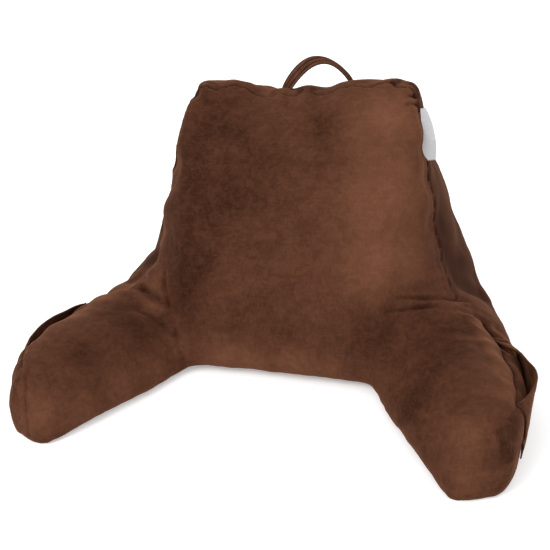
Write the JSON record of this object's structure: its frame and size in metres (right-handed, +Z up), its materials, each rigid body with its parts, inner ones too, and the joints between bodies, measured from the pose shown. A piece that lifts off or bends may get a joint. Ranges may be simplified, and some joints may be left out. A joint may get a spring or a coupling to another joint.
{
  "type": "reading pillow with arms",
  "caption": "Soft filled backrest pillow with two forward-splayed arms, a carry strap on top and an open pocket on each arm's outer side.",
  "frame": {"origin": "middle of the footprint, on the floor", "axes": "+Z up; the pillow faces -Y, with its arms towards -Y, and +X is on the right seen from the front"},
  "size_m": [0.794, 0.602, 0.498],
  "materials": {
    "velour": "brown velour with a short mottled nap",
    "strap_velour": "darker brown velour strap",
    "white_tape": "smooth white woven tape, blank"
  },
  "bodies": {
    "root": {"pillow_body": "velour", "carry_handle": "strap_velour", "side_label": "white_tape", "pocket_right": "velour", "pocket_left": "velour"}
  },
  "joints": []
}
